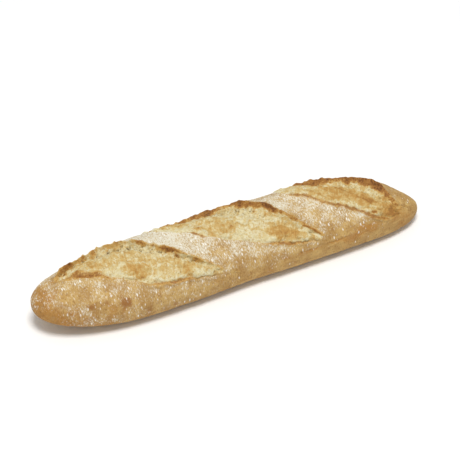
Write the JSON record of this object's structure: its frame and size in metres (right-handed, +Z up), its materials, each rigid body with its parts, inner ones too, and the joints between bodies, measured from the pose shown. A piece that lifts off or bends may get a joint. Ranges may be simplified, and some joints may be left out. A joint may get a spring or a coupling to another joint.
{
  "type": "baguette",
  "caption": "Long bread loaf with rounded ends, diagonal cuts opened into raised ragged ears and pale crumb, resting on a flat underside; food to slice and serve",
  "frame": {"origin": "middle of the loaf's bounding box, on the surface it rests on", "axes": "+X along the loaf towards its more tapered end, +Z up from the flat underside to the cut crown"},
  "size_m": [0.2898, 0.0654, 0.0412],
  "materials": {
    "crust": "baked golden crust, matt, dusted with flour"
  },
  "bodies": {
    "root": {"baguette": "crust"}
  },
  "joints": []
}
